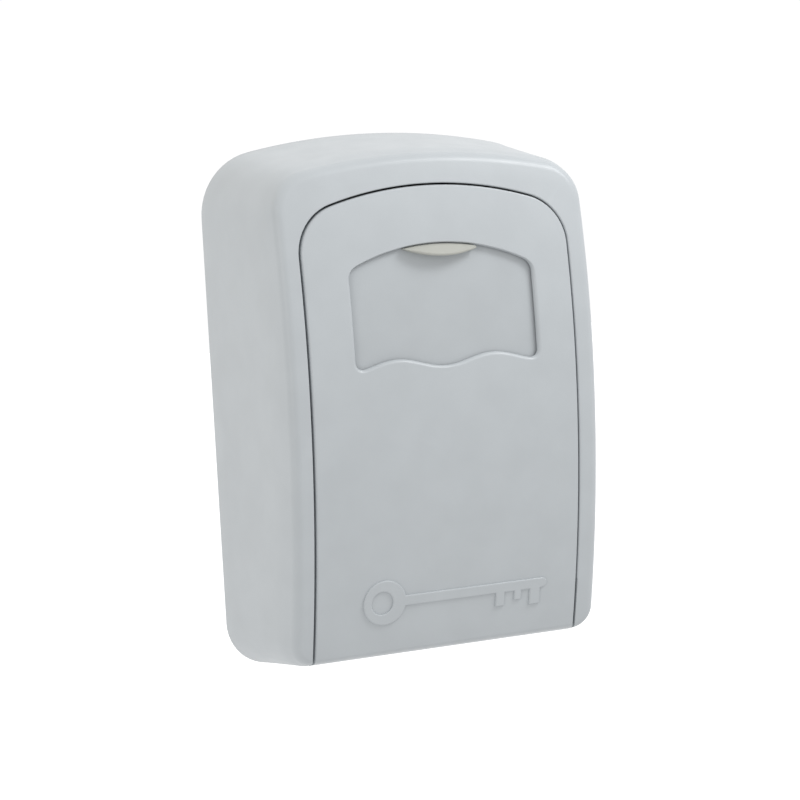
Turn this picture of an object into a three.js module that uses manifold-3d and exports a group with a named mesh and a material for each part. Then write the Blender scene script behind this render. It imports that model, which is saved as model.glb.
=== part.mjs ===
// Wall-mounted key lock box: a die-cast housing, and a door that holds a four-wheel combination latch behind
// a sliding shutter. Millimetres. The origin is on the back face, which lies on the wall, on its centre line:
// +X is to the right as seen from the front, -Y points away from the wall, +Z is up.
import * as THREE from "three";
import { mergeVertices } from "three/addons/utils/BufferGeometryUtils.js";
import Module from "manifold-3d";

const wasm = await Module();
wasm.setup();

// ---- Driving dimensions ----

const WIDTH = 83;
const HEIGHT = 116.5;
const TOP_Z = 59; // height of the top above the origin
const DEPTH = 34;

const CREST_Z = 6; // height at which the bowed front is deepest
const UPPER_BOW = 203; // radius of the front's bow above the crest
const LOWER_BOW = 246; // and below it
const DRAFT = 5.2; // how far each side comes in from the back to the front
const BOTTOM_DRAFT = 0.67; // the bottom's share of that draft
const DRAFT_ANGLE = THREE.MathUtils.degToRad(8.4);
const EDGE_RADIUS = 2.4; // rounding of the front edge
const SIDE_WALL = 2.4;
const BACK_WALL = 2.6;
const FRAME_DEPTH = 3.2; // thickness of the frame round the door

const HOUSING = {
  half: WIDTH / 2,
  bottom: TOP_Z - HEIGHT,
  top: TOP_Z,
  archRadius: 149,
  topCorner: 14.3,
  bottomCorner: 10,
  cornerDraft: 0.96, // the lower corners' radius shrinks by this share of the draft
};

const DOOR_GAP = 0.4;
const DOOR_SKIN = 2.6;
const DOOR_RIM = 2;
const RIM_DEPTH = 7.5;
const DOOR = {
  half: 31.1,
  bottom: TOP_Z - HEIGHT,
  top: 46.6,
  archRadius: 80.4,
  topCorner: 10.9,
  bottomCorner: 0.4,
};
const POCKET_BOTTOM = -45.5; // the hollow behind the door's skin ends above the hinge barrel

const HINGE_Y = -18.5;
const HINGE_Z = -49.5;
const BARREL_RADIUS = 5.4;
const PIN_RADIUS = 1.5;
const PIN_HALF = 34.4;
const WALL_END_Y = -12.8; // the housing's bottom wall stops here, behind the hinge barrel
const HINGE_ROOM_TOP = -42;
const SILL = { back: -11, top: -48 }; // a rib on that wall's end, which shields the cavity behind the barrel
const LUG = { front: -23.5, back: -13, bottom: -57, top: -43.5 }; // the housing's bosses beside the barrel
const DOORWAY_BACK = -20;

const WALL_HOLE = { x: 22, z: 33, radius: 2.4, headRadius: 4.6 };

const WINDOW = { left: -20.8, right: 22, top: 34.3, archRadius: 47.5, corner: 2.2 };
const WAVE = { mid: 9.3, height: 1.03, pitch: 22.4 };

// The shutter runs on an arc concentric with the front above the crest. Offsets are measured back from it.
const SHUTTER = { half: 22.6, bottom: 5.3, top: 36.3, front: 1.3, back: 2.4 };
const SHUTTER_POCKET = { half: 23, bottom: -18.4, top: 37.6, skin: 0.9, reach: 12 };
const TAB = { left: -7.9, right: 8.9, lowest: 1.3, bottom: 31.5, radius: 24, gap: 0.2, proud: 1.6, sunk: 0.3 };

const BEZEL = { half: 23.6, bottom: -18.2, top: 38, front: 5, back: 6.2, railFront: 3.3, railInner: 21.2 };

const DIAL_COUNT = 4;
const DIAL_RADIUS = 8;
const DIAL_WIDTH = 6;
const DIAL_PITCH = 8.2;
const FIRST_DIAL_X = -8;
const DIAL_Y = -22.2;
const DIAL_Z = 22;
const DIGITS = 10;
const NOTCH_DEPTH = 0.7;
const DIAL_SLOT = { side: 0.3, half: 6.9 }; // the gap beside each wheel in the face plate, and its half height
const HUB = { radius: 4.8, flat: 3.8, width: 1.3, gap: 0.3, sleeve: 3, bore: 1.85 };
const SPINDLE_RADIUS = 1.6;
const DIAL_BORE = 3.3;

const CHASSIS = { half: 23.4, bottom: 9.6, top: 35, front: 6.5, back: -14, wall: 1.4 };
const RIB = { x: -12.3, half: 0.7 };
const LEDGE = { half: 2.4, front: -16.2, back: -11.9, strut: 1.6, thickness: 1.4, gap: 0.3 };
const DETENT = { thickness: 0.4, half: 2, back: -15, bend: -17.5 };

const LATCH = { front: -13.4, back: -12, half: 20.5, bottom: 10, top: 37, tip: 49, boltX: 14, boltHalf: 3 };
const TOOTH = { half: 0.5, bottom: 5.5, top: 8.5, gap: 0.4 }; // heights above the wheels' axis
const LEVER = { x: -16.5, half: 2.9, bottom: 21.5, top: 28.5, front: -29.4, back: -27.2, stemHalf: 1.8 };
const RIDGE = { count: 4, pitch: 1.7, height: 1.3 }; // the grip on the lever's face
const CATCH = { front: -16.2, back: -13.8, bottom: 46.8, top: 57, half: 4.2 };

const SPRING = { x: 18, radius: 0.85, wire: 0.28, bottom: -3, top: 9.6, turns: 8 };
const COVER = { half: 28.2, bottom: -6.6, top: 41.5, front: -11.5, back: -10.3 };
const SCREW = {
  x: 26,
  low: -2.5,
  high: 34,
  post: 2.4,
  bore: 1.3,
  shank: 1.1,
  head: 2.2,
  headHeight: 1.3,
  length: 9,
};
const RESET = { left: -9, right: 6, bottom: 0.4, top: 4.5, knobX: -6.5, knobHalf: 1.6, travel: 6, knobBack: -8.4 };

// ---- Materials ----

const finish = (color, roughness, metalness) => () =>
  new THREE.MeshStandardMaterial({ color, roughness, metalness });
const powderCoat = finish(0xbfc3c6, 0.55, 0.1);
const creamPlastic = finish(0xcfcfc6, 0.5, 0);
const blackPlastic = finish(0x1c1c1e, 0.5, 0);
const greyPlastic = finish(0x46484b, 0.6, 0);
const zincPlate = finish(0x9a9c9e, 0.35, 0.9);
const steel = finish(0xb4b6b8, 0.3, 1);

// ---- Solids from three.js geometry ----

function solid(geometry) {
  const bare = geometry.clone();
  bare.deleteAttribute("normal");
  bare.deleteAttribute("uv");
  const merged = mergeVertices(bare, 1e-4);
  return new wasm.Manifold(
    new wasm.Mesh({
      numProp: 3,
      vertProperties: merged.attributes.position.array,
      triVerts: new Uint32Array(merged.index.array),
    }),
  );
}

function geometryOf(manifold) {
  const mesh = manifold.getMesh();
  const geometry = new THREE.BufferGeometry();
  geometry.setAttribute("position", new THREE.BufferAttribute(new Float32Array(mesh.vertProperties), 3));
  geometry.setIndex(new THREE.BufferAttribute(new Uint32Array(mesh.triVerts), 1));
  geometry.computeVertexNormals();
  return geometry;
}

const joined = (first, ...rest) => rest.reduce((sum, piece) => sum.add(piece), first);

function extrusion(points, depth) {
  const shape = new THREE.Shape(points.map(([a, b]) => new THREE.Vector2(a, b)));
  return new THREE.ExtrudeGeometry(shape, { depth, bevelEnabled: false, steps: 1 });
}

// An outline of (x, z) points carried along Y.
function alongY(points, y0, y1) {
  return solid(extrusion(points, y1 - y0).rotateX(Math.PI / 2).translate(0, y1, 0));
}

// An outline of (y, z) points carried along X.
function alongX(points, x0, x1) {
  const turn = new THREE.Matrix4().makeBasis(
    new THREE.Vector3(0, 1, 0),
    new THREE.Vector3(0, 0, 1),
    new THREE.Vector3(1, 0, 0),
  );
  return solid(extrusion(points, x1 - x0).applyMatrix4(turn).translate(x0, 0, 0));
}

function box([x0, x1], [y0, y1], [z0, z1]) {
  const geometry = new THREE.BoxGeometry(x1 - x0, y1 - y0, z1 - z0);
  return solid(geometry.translate((x0 + x1) / 2, (y0 + y1) / 2, (z0 + z1) / 2));
}

// A span of X between two distances from the middle, on the right (side 1) or the left (side -1).
const sideways = (side, inner, outer) => [side * inner, side * outer].sort((a, b) => a - b);

function rodX(radius, [x0, x1], y, z, sides = 32) {
  const geometry = new THREE.CylinderGeometry(radius, radius, x1 - x0, sides).rotateZ(Math.PI / 2);
  return solid(geometry.translate((x0 + x1) / 2, y, z));
}

function rodY(radius, x, [y0, y1], z, sides = 24, farRadius = radius) {
  const geometry = new THREE.CylinderGeometry(farRadius, radius, y1 - y0, sides);
  return solid(geometry.translate(x, (y0 + y1) / 2, z));
}

// ---- The outside form ----

const bow = (radius, distance) => radius - Math.sqrt(radius * radius - distance * distance);

function frontDepth(z) {
  const rise = z - CREST_Z;
  return DEPTH - bow(rise < 0 ? LOWER_BOW : UPPER_BOW, rise);
}

const trackDepth = (z) => DEPTH - bow(UPPER_BOW, z - CREST_Z);

function arc(cx, cz, radius, from, to, steps) {
  const points = [];
  for (let i = 0; i <= steps; i++) {
    const angle = from + ((to - from) * i) / steps;
    points.push([cx + radius * Math.cos(angle), cz + radius * Math.sin(angle)]);
  }
  return points;
}

function line([x0, z0], [x1, z1], steps) {
  const points = [];
  for (let i = 1; i < steps; i++) {
    points.push([x0 + ((x1 - x0) * i) / steps, z0 + ((z1 - z0) * i) / steps]);
  }
  return points;
}

// A flat-bottomed outline with an arched top, counter-clockwise from its lower left corner, drawn in by an inset.
function archedOutline(form, inset, steps = { bottom: 6, corner: 5, side: 8, arch: 10 }) {
  const half = form.half - inset;
  const bottom = form.bottom + inset;
  const top = form.top - inset;
  const archRadius = form.archRadius - inset;
  const low = Math.max(form.bottomCorner - inset, 0.3);
  const high = Math.max(form.topCorner - inset, 0.3);
  const cornerZ = top - archRadius + Math.sqrt((archRadius - high) ** 2 - (half - high) ** 2);
  const meet = Math.atan2(cornerZ - top + archRadius, half - high);
  const quarter = Math.PI / 2;
  const lowerLeft = arc(-half + low, bottom + low, low, 2 * quarter, 3 * quarter, steps.corner);
  const lowerRight = arc(half - low, bottom + low, low, 3 * quarter, 4 * quarter, steps.corner);
  const upperRight = arc(half - high, cornerZ, high, 0, meet, steps.corner);
  const arch = arc(0, top - archRadius, archRadius, meet, Math.PI - meet, steps.arch).slice(1, -1);
  const upperLeft = arc(-half + high, cornerZ, high, Math.PI - meet, Math.PI, steps.corner);
  return [
    ...lowerLeft,
    ...line([-half + low, bottom], [half - low, bottom], steps.bottom),
    ...lowerRight,
    ...line([half, bottom + low], [half, cornerZ], steps.side),
    ...upperRight,
    ...arch,
    ...upperLeft,
    ...line([-half, cornerZ], [-half, bottom + low], steps.side),
  ];
}

const bottomAt = (drawn) => HOUSING.bottom + BOTTOM_DRAFT * drawn;

// The housing's outline where the draft has drawn it in, less a wall's thickness.
function housingOutline(drawn, wall = 0) {
  const bottom = bottomAt(drawn) - drawn;
  const bottomCorner = HOUSING.bottomCorner - (HOUSING.cornerDraft - 1) * drawn;
  return archedOutline({ ...HOUSING, bottom, bottomCorner }, drawn + wall);
}

// Rings of (x, y, z) points, from the back one to the front one, skinned and capped at both ends.
function loft(rings) {
  const count = rings[0].length;
  const positions = rings.flat(2);
  const index = [];
  for (let ring = 0; ring < rings.length - 1; ring++) {
    for (let i = 0; i < count; i++) {
      const a = ring * count + i;
      const b = ring * count + ((i + 1) % count);
      index.push(a, b, b + count, a, b + count, a + count);
    }
  }
  const caps = [rings[0], rings[rings.length - 1]];
  caps.forEach((ring, end) => {
    const centre = positions.length / 3;
    const ys = ring.map((point) => point[1]);
    positions.push(0, end ? Math.min(...ys) : Math.max(...ys), CREST_Z);
    const first = end ? (rings.length - 1) * count : 0;
    for (let i = 0; i < count; i++) {
      const a = first + i;
      const b = first + ((i + 1) % count);
      index.push(centre, end ? a : b, end ? b : a);
    }
  });
  const geometry = new THREE.BufferGeometry();
  geometry.setAttribute("position", new THREE.Float32BufferAttribute(positions, 3));
  geometry.setIndex(index);
  return solid(geometry);
}

// Where the rounded front edge stands at an angle from the side wall: how far in, and how far short of the front.
function edgeAt(angle) {
  return {
    inset: DRAFT + EDGE_RADIUS * (Math.cos(DRAFT_ANGLE) - Math.cos(angle)),
    short: EDGE_RADIUS * (1 - Math.sin(angle)),
  };
}

const edgeAngles = [0, 1, 2, 3, 4].map((i) => DRAFT_ANGLE + ((Math.PI / 2 - DRAFT_ANGLE) * i) / 4);

function housingBlock() {
  const rings = [0, 0.5].map((share) => {
    return housingOutline(DRAFT * share).map(([x, z]) => [x, -share * frontDepth(z), z]);
  });
  for (const angle of edgeAngles) {
    const edge = edgeAt(angle);
    rings.push(housingOutline(edge.inset).map(([x, z]) => [x, edge.short - frontDepth(z), z]));
  }
  const rim = rings[rings.length - 1];
  for (const share of [0.8, 0.6, 0.4, 0.2]) {
    const ring = rim.map(([x, , z]) => [x * share, CREST_Z + (z - CREST_Z) * share]);
    rings.push(ring.map(([x, z]) => [x, -frontDepth(z), z]));
  }
  return loft(rings);
}

function housingCavity() {
  const rings = [0, 0.5, 1].map((share) => {
    const outer = housingOutline(DRAFT * (0.08 + 0.84 * share), SIDE_WALL);
    return outer.map(([x, z]) => [x, -BACK_WALL - share * (frontDepth(z) - FRAME_DEPTH - BACK_WALL), z]);
  });
  return loft(rings);
}

// ---- Housing ----

function bodyShell() {
  const block = housingBlock();
  const opening = alongY(
    archedOutline({ ...DOOR, bottom: -2 * HEIGHT }, -DOOR_GAP),
    -2 * DEPTH,
    DOORWAY_BACK,
  );
  const doorWay = DOOR.half + DOOR_GAP;
  const hingeRoom = box([-doorWay, doorWay], [-2 * DEPTH, WALL_END_Y], [-HEIGHT, HINGE_ROOM_TOP]);
  const lugs = [-1, 1].map((side) => {
    const across = sideways(side, doorWay, HOUSING.half);
    return box(across, [LUG.front, LUG.back], [LUG.bottom, LUG.top]).intersect(block);
  });
  const catches = [-1, 1].map((side) => {
    const across = sideways(side, LATCH.boltX - CATCH.half, LATCH.boltX + CATCH.half);
    return box(across, [CATCH.front, CATCH.back], [CATCH.bottom, CATCH.top]).intersect(block);
  });
  const sill = box([-doorWay - 2, doorWay + 2], [WALL_END_Y, SILL.back], [-HEIGHT, SILL.top]).intersect(block);
  let shell = block.subtract(housingCavity()).subtract(opening).subtract(hingeRoom);
  shell = joined(shell, sill, ...lugs, ...catches);
  shell = shell.subtract(rodX(PIN_RADIUS + 0.1, [-PIN_HALF - 0.3, PIN_HALF + 0.3], HINGE_Y, HINGE_Z));
  for (const x of [-WALL_HOLE.x, WALL_HOLE.x]) {
    for (const z of [-WALL_HOLE.z, WALL_HOLE.z]) {
      shell = shell.subtract(rodY(WALL_HOLE.radius, x, [-5, 1], z));
      shell = shell.subtract(rodY(WALL_HOLE.headRadius, x, [-3, -0.8], z, 24, WALL_HOLE.radius));
    }
  }
  return shell;
}

const hingePin = () => rodX(PIN_RADIUS, [-PIN_HALF, PIN_HALF], HINGE_Y, HINGE_Z);

// ---- Door ----

// Points of the front curve, or of a curve set back from it, from one height to another.
function curve(depthAt, offset, z0, z1, steps) {
  const points = [];
  for (let i = 0; i <= steps; i++) {
    const z = z0 + ((z1 - z0) * i) / steps;
    points.push([offset - depthAt(z), z]);
  }
  return points;
}

function band(depthAt, front, back, z0, z1, steps = 16) {
  return [...curve(depthAt, back, z0, z1, steps), ...curve(depthAt, front, z1, z0, steps)];
}

function doorSection() {
  const bottomEdge = edgeAngles.map((angle) => {
    const edge = edgeAt(angle);
    const z = bottomAt(edge.inset);
    return [edge.short - frontDepth(z), z];
  });
  const lowest = bottomEdge[bottomEdge.length - 1][1];
  return [
    [HINGE_Y + 2, HINGE_Z - BARREL_RADIUS + 0.6],
    ...curve(frontDepth, RIM_DEPTH, HINGE_Z + 1, DOOR.top + 2, 16),
    ...curve(frontDepth, 0, DOOR.top + 2, lowest, 20),
    ...bottomEdge.slice(0, -1).reverse(),
  ];
}

function windowOutline() {
  const { left, right, top, archRadius, corner } = WINDOW;
  const waveZ = (x) => WAVE.mid - WAVE.height * Math.cos((2 * Math.PI * x) / WAVE.pitch);
  const archZ = (x) => top - bow(archRadius, x);
  const start = left + corner;
  const end = right - corner;
  const shape = new THREE.Shape();
  shape.moveTo(start, waveZ(start));
  for (let i = 1; i <= 24; i++) {
    const x = start + ((end - start) * i) / 24;
    shape.lineTo(x, waveZ(x));
  }
  shape.quadraticCurveTo(right, waveZ(end), right, waveZ(end) + corner);
  shape.lineTo(right, archZ(right) - corner);
  shape.quadraticCurveTo(right, archZ(right), end, archZ(end));
  for (let i = 1; i <= 12; i++) {
    const x = end - ((end - start) * i) / 12;
    shape.lineTo(x, archZ(x));
  }
  shape.quadraticCurveTo(left, archZ(left), left, archZ(left) - corner);
  shape.lineTo(left, waveZ(start) + corner);
  shape.quadraticCurveTo(left, waveZ(start), start, waveZ(start));
  return shape.getPoints(4).slice(0, -1).map((point) => [point.x, point.y]);
}

function doorShell() {
  const { half } = DOOR;
  const outside = alongY(archedOutline(DOOR, 0), -2 * DEPTH, 0).intersect(alongX(doorSection(), -half, half));
  const inside = { ...DOOR, bottom: POCKET_BOTTOM - DOOR_RIM, bottomCorner: 4 };
  const hollow = alongY(archedOutline(inside, DOOR_RIM), -2 * DEPTH, 0)
    .intersect(alongX(band(frontDepth, DOOR_SKIN, DEPTH, POCKET_BOTTOM, DOOR.top), -half, half));
  const { half: pocketHalf, bottom, top, skin, reach } = SHUTTER_POCKET;
  const pocket = alongX(band(trackDepth, skin, reach, bottom, top), -pocketHalf, pocketHalf);
  const barrel = rodX(BARREL_RADIUS, [-half, half], HINGE_Y, HINGE_Z, 48);
  const posts = screwPlaces().map(([x, z]) => {
    return rodY(SCREW.post, x, [-frontDepth(z) + 2, COVER.front - 0.3], z);
  });
  let shell = joined(outside.subtract(hollow), barrel, ...posts);
  shell = shell.subtract(pocket).subtract(rodX(PIN_RADIUS + 0.25, [-WIDTH, WIDTH], HINGE_Y, HINGE_Z));
  shell = shell.subtract(alongY(windowOutline(), -2 * DEPTH, -DEPTH / 2));
  for (const [x, z] of screwPlaces()) {
    shell = shell.subtract(rodY(SCREW.bore, x, [COVER.front - SCREW.length, 0], z, 12));
  }
  return shell;
}

// ---- Shutter ----

function shutter() {
  const { half, bottom, top, front, back } = SHUTTER;
  return alongX(band(trackDepth, front, back, bottom, top), -half, half);
}

// A lens-shaped lip under the window's arch, whose face slopes out to its lower edge.
function shutterTab() {
  const { left, right, lowest, radius } = TAB;
  const up = Math.PI / 2;
  const upper = WINDOW.archRadius - TAB.gap;
  const lower = [left, right].map((x) => Math.asin((x - lowest) / radius) - up);
  const higher = [right, left].map((x) => up - Math.asin(x / upper));
  const lowerArc = arc(lowest, TAB.bottom + radius, radius, ...lower, 12);
  const upperArc = arc(0, WINDOW.top - WINDOW.archRadius, upper, ...higher, 10);
  const seat = trackDepth(TAB.bottom) - SHUTTER.front + TAB.sunk;
  const slope = [
    [-seat + 0.7, TAB.bottom - 1],
    [-seat + 0.7, WINDOW.top + 1],
    [-trackDepth(WINDOW.top) + 0.3, WINDOW.top + 1],
    [-trackDepth(WINDOW.top) + 0.2, WINDOW.top - 0.4],
    [-trackDepth(TAB.bottom) - TAB.proud, TAB.bottom + 0.5],
    [-trackDepth(TAB.bottom) - TAB.proud + 0.4, TAB.bottom - 0.1],
  ];
  const lens = alongY([...lowerArc, ...upperArc], -2 * DEPTH, 0).intersect(alongX(slope, left, right));
  const room = band(trackDepth, SHUTTER.front - TAB.sunk, DEPTH / 2, SHUTTER.bottom, SHUTTER.top);
  return lens.subtract(alongX(room, -SHUTTER.half, SHUTTER.half));
}

// ---- Works ----

const dialX = (i) => FIRST_DIAL_X + i * DIAL_PITCH;

function dialBezel() {
  const { half, bottom, top, front, back, railFront, railInner } = BEZEL;
  const throughFace = [-DEPTH - 1, DIAL_Y];
  const plate = alongX(band(trackDepth, front, back, bottom, top), -half, half);
  const rails = [-1, 1].map((side) => {
    return alongX(band(trackDepth, railFront, back, bottom, top), ...sideways(side, railInner, half));
  });
  let bezel = joined(plate, ...rails);
  for (let i = 0; i < DIAL_COUNT; i++) {
    const reach = DIAL_WIDTH / 2 + DIAL_SLOT.side;
    const across = [dialX(i) - reach, dialX(i) + reach];
    bezel = bezel.subtract(box(across, throughFace, [DIAL_Z - DIAL_SLOT.half, DIAL_Z + DIAL_SLOT.half]));
  }
  const leverSlot = [LEVER.x - LEVER.half - 0.4, LEVER.x + LEVER.half + 0.4];
  return bezel.subtract(box(leverSlot, throughFace, [LEVER.bottom - 6, LEVER.top + 0.6]));
}

function dialFrame() {
  const { half, bottom, top, front, back, wall } = CHASSIS;
  const outline = [[back, bottom], [back, top], ...curve(trackDepth, front, top, bottom, 8)];
  const block = alongX(outline, -half, half);
  const inner = box([-half + wall, half - wall], [-DEPTH, 0], [bottom + wall, top - wall]);
  const rib = box([RIB.x - RIB.half, RIB.x + RIB.half], [-DEPTH, back], [bottom, top]).intersect(block);
  const ledgeTop = SPRING.bottom - LEDGE.gap;
  const ledgeBottom = ledgeTop - LEDGE.thickness;
  const ledges = [-1, 1].map((side) => {
    const across = sideways(side, SPRING.x - LEDGE.half, SPRING.x + LEDGE.half);
    const strut = box(across, [LEDGE.front, LEDGE.front + LEDGE.strut], [ledgeBottom, bottom + wall / 2]);
    const shelf = box(across, [LEDGE.front, LEDGE.back], [ledgeBottom, ledgeTop]);
    return strut.add(shelf);
  });
  const frame = joined(block.subtract(inner), rib, ...ledges);
  return frame.subtract(rodX(SPINDLE_RADIUS + 0.12, [RIB.x - 2, half + 1], DIAL_Y, DIAL_Z, 24));
}

// A wheel with a flat-bottomed notch between each two of its numbers, so that a fingertip can turn it.
function dial(i) {
  const points = [];
  const step = (2 * Math.PI) / DIGITS;
  for (let n = 0; n < DIGITS; n++) {
    const start = (n - 0.5) * step;
    for (const [share, depth] of [[0.04, NOTCH_DEPTH], [0.14, 0], [0.5, 0], [0.86, 0], [0.96, NOTCH_DEPTH]]) {
      const radius = DIAL_RADIUS - depth;
      const angle = start + share * step + Math.PI;
      points.push([DIAL_Y + radius * Math.cos(angle), DIAL_Z + radius * Math.sin(angle)]);
    }
  }
  const across = [dialX(i) - DIAL_WIDTH / 2, dialX(i) + DIAL_WIDTH / 2];
  return alongX(points, ...across).subtract(rodX(DIAL_BORE, [across[0] - 1, across[1] + 1], DIAL_Y, DIAL_Z, 24));
}

// A sleeve inside the wheel and a disc beside it, whose two gate flats let the latch's teeth past.
function gateHub(i) {
  const left = dialX(i) - DIAL_WIDTH / 2;
  const discLeft = dialX(i) + DIAL_WIDTH / 2 + HUB.gap;
  const discRight = discLeft + HUB.width;
  const flats = box([discLeft - 1, discRight + 1], [DIAL_Y - HUB.flat, DIAL_Y + HUB.flat], [0, 2 * DIAL_Z]);
  const disc = rodX(HUB.radius, [discLeft, discRight], DIAL_Y, DIAL_Z, 36).intersect(flats);
  const sleeve = rodX(HUB.sleeve, [left, discLeft + 0.5], DIAL_Y, DIAL_Z, 24);
  return disc.add(sleeve).subtract(rodX(HUB.bore, [left - 1, discRight + 1], DIAL_Y, DIAL_Z, 24));
}

const dialSpindle = () => rodX(SPINDLE_RADIUS, [RIB.x - 0.6, CHASSIS.half - 0.1], DIAL_Y, DIAL_Z, 24);

// A spring strip with one finger under each wheel, whose tip points at a notch.
function detentSpring() {
  const { thickness, half, back, bend } = DETENT;
  const floor = CHASSIS.bottom + CHASSIS.wall + 0.3;
  const under = [[back, floor], [bend, floor], [-20.5, floor + 1.4], [DIAL_Y, floor + 2], [-23.6, floor + 1.3]];
  const over = under.map(([y, z]) => [y, z + thickness]).reverse();
  const strip = box([dialX(0) - half, dialX(DIAL_COUNT - 1) + half], [bend, back], [floor, floor + thickness]);
  const fingers = [];
  for (let i = 0; i < DIAL_COUNT; i++) {
    fingers.push(alongX([...under, ...over].reverse(), dialX(i) - half, dialX(i) + half));
  }
  return joined(strip, ...fingers);
}

// A stamped plate behind the wheels, with two bolts at its top and a tooth beside each wheel.
function latchSlide() {
  const { front, back, half, bottom, top, tip, boltX, boltHalf } = LATCH;
  const plate = box([-half, half], [front, back], [bottom, top]);
  const bolts = [-boltX, boltX].map((x) => box([x - boltHalf, x + boltHalf], [front, back], [top - 1, tip]));
  const teeth = [];
  for (let i = 0; i < DIAL_COUNT; i++) {
    const middle = dialX(i) + DIAL_WIDTH / 2 + HUB.gap + HUB.width / 2;
    const across = [middle - TOOTH.half, middle + TOOTH.half];
    const reach = DIAL_Y + HUB.flat + TOOTH.gap;
    teeth.push(box(across, [reach, front + 0.5], [DIAL_Z + TOOTH.bottom, DIAL_Z + TOOTH.top]));
  }
  const relief = box([-8, 8], [front - 1, back + 1], [top - 6, top + 1]);
  return joined(plate, ...bolts, ...teeth).subtract(relief);
}

function releaseLever() {
  const { x, half, bottom, top, front, back, stemHalf } = LEVER;
  const pad = box([x - half, x + half], [front + 1, back], [bottom, top]);
  const ridges = [];
  for (let i = 0; i < RIDGE.count; i++) {
    const z = bottom + 0.4 + i * RIDGE.pitch;
    const outline = [[front + 1.2, z], [front + 1.2, z + RIDGE.height], [front, z + 0.3]];
    ridges.push(alongX(outline, x - half, x + half));
  }
  const stem = box([x - stemHalf, x + stemHalf], [back - 0.5, LATCH.front - 0.3], [bottom + 1.5, top - 1.5]);
  return joined(pad, stem, ...ridges);
}

class Helix extends THREE.Curve {
  constructor(x) {
    super();
    this.x = x;
  }

  getPoint(share) {
    const angle = 2 * Math.PI * SPRING.turns * share;
    const y = (LATCH.front + LATCH.back) / 2;
    const length = SPRING.top - SPRING.bottom - 2 * SPRING.wire;
    const rise = SPRING.bottom + SPRING.wire + length * share;
    const across = SPRING.radius * Math.cos(angle);
    return new THREE.Vector3(this.x + across, y + SPRING.radius * Math.sin(angle), rise);
  }
}

function latchSpring(side) {
  const hexagon = arc(0, 0, SPRING.wire, 0, (5 * Math.PI) / 3, 5);
  const section = new THREE.Shape(hexagon.map((point) => new THREE.Vector2(...point)));
  const coil = new THREE.ExtrudeGeometry(section, {
    steps: SPRING.turns * 10,
    extrudePath: new Helix(side * SPRING.x),
    bevelEnabled: false,
  });
  return solid(coil);
}

function resetLever() {
  const { left, right, bottom, top, knobX, knobHalf, knobBack } = RESET;
  const bar = box([left, right], [LATCH.front, LATCH.back], [bottom, top]);
  const knob = box([knobX - knobHalf, knobX + knobHalf], [LATCH.back - 0.5, knobBack], [bottom + 0.9, top - 0.9]);
  return bar.add(knob);
}

function screwPlaces() {
  return [-SCREW.x, SCREW.x].flatMap((x) => [[x, SCREW.low], [x, SCREW.high]]);
}

function innerCover() {
  const { half, bottom, top, front, back } = COVER;
  const inside = { ...DOOR, bottom: bottom - DOOR_RIM, bottomCorner: 4 };
  let cover = alongY(archedOutline(inside, DOOR_RIM + 0.6), front, back)
    .intersect(box([-half, half], [front - 1, back + 1], [bottom, top]));
  const { knobX, knobHalf, travel, bottom: low, top: high } = RESET;
  const slot = [knobX - knobHalf - 0.5, knobX + knobHalf + travel + 0.5];
  cover = cover.subtract(box(slot, [front - 1, back + 1], [low + 0.5, high - 0.5]));
  for (const [x, z] of screwPlaces()) {
    cover = cover.subtract(rodY(SCREW.shank + 0.2, x, [front - 1, back + 1], z, 16));
  }
  return cover;
}

function coverScrew([x, z]) {
  const { shank, head, headHeight, length } = SCREW;
  const headFront = COVER.back + 0.1;
  const body = rodY(shank, x, [COVER.front - length + 0.5, headFront + 0.3], z, 12);
  const cap = rodY(head, x, [headFront, headFront + headHeight], z, 20, head * 0.75);
  const recess = joined(
    box([x - 1.3, x + 1.3], [headFront + headHeight - 0.8, 0], [z - 0.3, z + 0.3]),
    box([x - 0.3, x + 0.3], [headFront + headHeight - 0.8, 0], [z - 1.3, z + 1.3]),
  );
  return body.add(cap).subtract(recess);
}

// ---- Assembly ----

function node(name, shape, material) {
  const mesh = new THREE.Mesh(geometryOf(shape), material());
  mesh.name = name;
  return mesh;
}

const group = new THREE.Group();
const housing = new THREE.Group();
const door = new THREE.Group();
const works = new THREE.Group();
group.add(housing, door);
door.add(works);

housing.add(node("body_shell", bodyShell(), powderCoat));
housing.add(node("hinge_pin", hingePin(), steel));
door.add(node("door_shell", doorShell(), powderCoat));
door.add(node("shutter", shutter(), powderCoat));
door.add(node("shutter_tab", shutterTab(), creamPlastic));
door.add(node("dial_bezel", dialBezel(), blackPlastic));
door.add(node("inner_cover", innerCover(), blackPlastic));
screwPlaces().forEach((place, i) => door.add(node(`cover_screw_${i + 1}`, coverScrew(place), steel)));

works.add(node("dial_frame", dialFrame(), greyPlastic));
works.add(node("dial_spindle", dialSpindle(), steel));
works.add(node("detent_spring", detentSpring(), steel));
for (let i = 0; i < DIAL_COUNT; i++) {
  works.add(node(`dial_${i + 1}`, dial(i), blackPlastic));
  works.add(node(`gate_hub_${i + 1}`, gateHub(i), zincPlate));
}
works.add(node("latch_slide", latchSlide(), zincPlate));
works.add(node("release_lever", releaseLever(), blackPlastic));
works.add(node("latch_spring_left", latchSpring(-1), steel));
works.add(node("latch_spring_right", latchSpring(1), steel));
works.add(node("reset_lever", resetLever(), greyPlastic));

export default group;
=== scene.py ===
import math

import bmesh
import bpy
from mathutils import Matrix, Vector
from mathutils.bvhtree import BVHTree
from mathutils.interpolate import poly_3d_calc


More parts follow.
